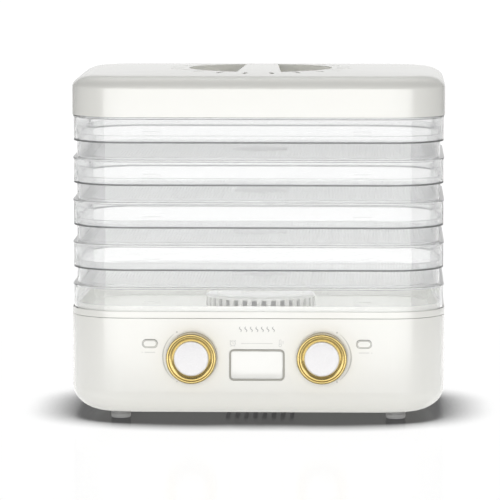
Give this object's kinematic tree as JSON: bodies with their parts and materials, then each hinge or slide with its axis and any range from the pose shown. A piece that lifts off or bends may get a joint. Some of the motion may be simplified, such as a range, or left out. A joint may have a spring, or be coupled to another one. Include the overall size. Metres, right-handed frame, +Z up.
{
  "type": "food dehydrator",
  "caption": "Countertop food dehydrator: a fan-heated base with knobs and a display, clear stacking trays and a vented lid with a grip.",
  "frame": {"origin": "centre of the bounding box, on the surface that the feet stand on", "axes": "+X to the viewer's right, +Y from the front panel to the back, +Z up"},
  "size_m": [0.3, 0.2326, 0.2793],
  "materials": {
    "cream_plastic": "semi-gloss moulded plastic, warm white",
    "clear_plastic": "clear moulded plastic",
    "gold_ring": "bright turned ring, pale gold",
    "pearl_plastic": "pearl satin",
    "grey_trim": "satin",
    "display_lens": "gloss window, unlit display shows as white",
    "rubber": "matt light grey rubber",
    "steel": "plain",
    "circuit_board": "solder mask green",
    "black_plastic": "moulded black",
    "white_plastic": "moulded white, heat resistant",
    "mica": "mica sheet",
    "nichrome": "oxidised resistance wire"
  },
  "bodies": {
    "base": {"base_housing": "cream_plastic", "foot_front_left": "rubber", "foot_front_right": "rubber", "foot_back_left": "rubber", "foot_back_right": "rubber", "base_deck": "cream_plastic", "deck_screw_front_left": "steel", "deck_screw_front_right": "steel", "deck_screw_back_left": "steel", "deck_screw_back_right": "steel", "outlet_grille": "cream_plastic", "air_duct": "white_plastic", "motor_bracket": "steel", "fan_motor": "steel", "motor_screw_left": "steel", "motor_screw_right": "steel", "heater_frame": "mica", "heater_coil_inner": "nichrome", "heater_coil_outer": "nichrome", "thermal_cutout": "black_plastic", "temperature_sensor": "black_plastic", "control_board": "circuit_board", "board_screw_left": "steel", "board_screw_right": "steel", "display_module": "black_plastic", "display_bezel": "grey_trim", "display_lens": "display_lens", "encoder_left": "black_plastic", "tact_switch_left": "black_plastic", "encoder_right": "black_plastic", "tact_switch_right": "black_plastic", "power_board": "circuit_board", "heater_relay": "black_plastic", "smoothing_capacitor": "black_plastic", "cord_gland": "black_plastic"},
    "fan_rotor": {"fan_impeller": "black_plastic", "motor_shaft": "steel", "impeller_cap": "steel"},
    "knob_left": {"knob_ring_left": "gold_ring", "knob_cap_left": "pearl_plastic", "knob_shaft_left": "steel"},
    "knob_right": {"knob_ring_right": "gold_ring", "knob_cap_right": "pearl_plastic", "knob_shaft_right": "steel"},
    "button_left": {"button_left": "cream_plastic"},
    "button_right": {"button_right": "cream_plastic"},
    "tray_5": {"tray_5": "clear_plastic", "tray_5_mesh": "clear_plastic"},
    "tray_4": {"tray_4": "clear_plastic", "tray_4_mesh": "clear_plastic"},
    "tray_3": {"tray_3": "clear_plastic", "tray_3_mesh": "clear_plastic"},
    "tray_2": {"tray_2": "clear_plastic", "tray_2_mesh": "clear_plastic"},
    "tray_1": {"tray_1": "clear_plastic", "tray_1_mesh": "clear_plastic"},
    "lid": {"lid": "cream_plastic"}
  },
  "joints": [
    {"name": "tray_5_lift", "type": "slide", "parent": "base", "child": "tray_5", "axis": [0, 0, 1], "range_m": [0, 0.06]},
    {"name": "tray_4_lift", "type": "slide", "parent": "tray_5", "child": "tray_4", "axis": [0, 0, 1], "range_m": [0, 0.06]},
    {"name": "tray_3_lift", "type": "slide", "parent": "tray_4", "child": "tray_3", "axis": [0, 0, 1], "range_m": [0, 0.06]},
    {"name": "tray_2_lift", "type": "slide", "parent": "tray_3", "child": "tray_2", "axis": [0, 0, 1], "range_m": [0, 0.06]},
    {"name": "tray_1_lift", "type": "slide", "parent": "tray_2", "child": "tray_1", "axis": [0, 0, 1], "range_m": [0, 0.06]},
    {"name": "lid_lift", "type": "slide", "parent": "tray_1", "child": "lid", "axis": [0, 0, 1], "range_m": [0, 0.06]},
    {"name": "fan_spin", "type": "hinge", "parent": "base", "child": "fan_rotor", "pos_m": [0, 0.00625, 0.0461], "axis": [0, 0, 1], "continuous": true},
    {"name": "knob_left_turn", "type": "hinge", "parent": "base", "child": "knob_left", "pos_m": [-0.052, -0.10125, 0.054], "axis": [0, -1, 0], "continuous": true},
    {"name": "knob_right_turn", "type": "hinge", "parent": "base", "child": "knob_right", "pos_m": [0.052, -0.10125, 0.054], "axis": [0, -1, 0], "continuous": true},
    {"name": "button_left_press", "type": "slide", "parent": "base", "child": "button_left", "axis": [0, 1, 0], "range_m": [0, 0.001], "stiffness_N_per_m": 300, "springref_m": -0.001},
    {"name": "button_right_press", "type": "slide", "parent": "base", "child": "button_right", "axis": [0, 1, 0], "range_m": [0, 0.001], "stiffness_N_per_m": 300, "springref_m": -0.001}
  ]
}
